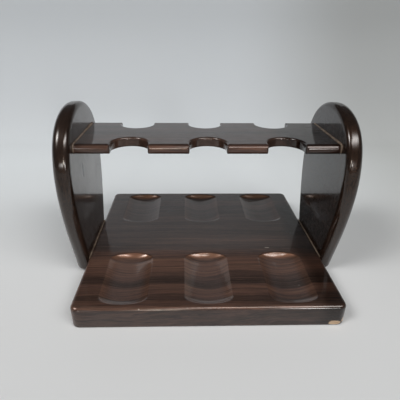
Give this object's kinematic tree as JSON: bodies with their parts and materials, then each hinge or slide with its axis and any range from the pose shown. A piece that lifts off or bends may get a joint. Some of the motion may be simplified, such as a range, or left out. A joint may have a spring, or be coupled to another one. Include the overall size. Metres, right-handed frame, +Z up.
{
  "type": "tobacco pipe rack",
  "caption": "Two-sided wooden rack for resting tobacco pipes: rounded side panels, a notched stem board and a base with shallow bowl hollows.",
  "frame": {"origin": "on the table, under the middle of the base board", "axes": "+X along the length from the left panel to the right panel, +Y from the front row of hollows to the back row, +Z up"},
  "size_m": [0.2492, 0.21, 0.1562],
  "materials": {
    "lacquered_wood": "near-black brown striped rosewood under glossy lacquer",
    "dowel_wood": "bare pale beech",
    "glue": "dried tan glue squeezed out of the joints"
  },
  "bodies": {
    "root": {"base_board": "lacquered_wood", "left_side_panel": "lacquered_wood", "right_side_panel": "lacquered_wood", "rack_board": "lacquered_wood", "base_dowels_left": "dowel_wood", "base_dowels_right": "dowel_wood", "rack_dowels_left": "dowel_wood", "rack_dowels_right": "dowel_wood"}
  },
  "joints": []
}
